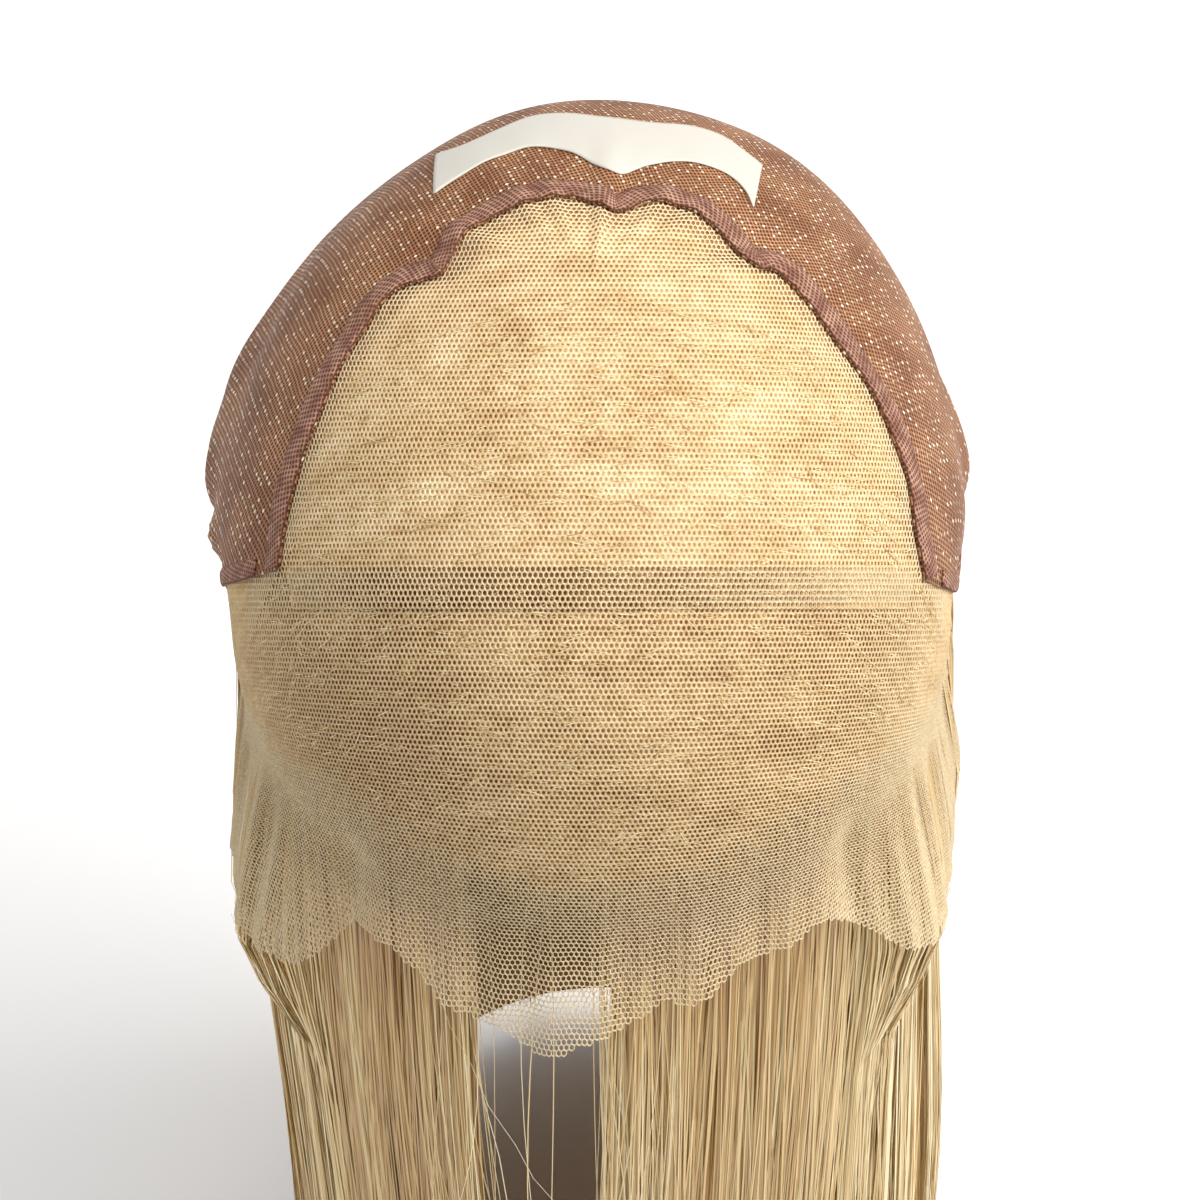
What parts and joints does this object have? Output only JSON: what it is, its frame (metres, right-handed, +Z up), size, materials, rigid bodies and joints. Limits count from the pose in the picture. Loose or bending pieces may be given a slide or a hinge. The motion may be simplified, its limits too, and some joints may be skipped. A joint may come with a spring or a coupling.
{
  "type": "lace front wig",
  "caption": "Lace front wig turned inside out: lace and net cap with hems, a seam band and an ivory tape outside, long straight hair hanging inside and below.",
  "frame": {"origin": "the crown's underside, where the top of a head seats", "axes": "+Z up, -Y the front of the cap, +X to the right in a front view"},
  "size_m": [0.1794, 0.2243, 0.4361],
  "materials": {
    "lace": "honeycomb lace knotted with blonde hair",
    "margin_lace": "sheer honeycomb lace with a pinked edge",
    "seam_lace": "doubled and stitched lace",
    "net": "brown stretch net with light specks in ribs",
    "hem": "dense folded hem, purplish brown",
    "tape": "smooth ivory tape",
    "hair": "straight ash and golden blonde hair, soft sheen"
  },
  "bodies": {
    "root": {"top_lace": "lace", "front_lace": "margin_lace", "lace_seam": "seam_lace", "crown_net": "net", "net_hem": "hem", "nape_hem": "hem", "tape_strip": "tape", "hair_crown": "hair", "hair_front_left": "hair", "hair_side_left": "hair", "hair_back_left": "hair", "hair_front_right": "hair", "hair_side_right": "hair", "hair_back_right": "hair"}
  },
  "joints": []
}
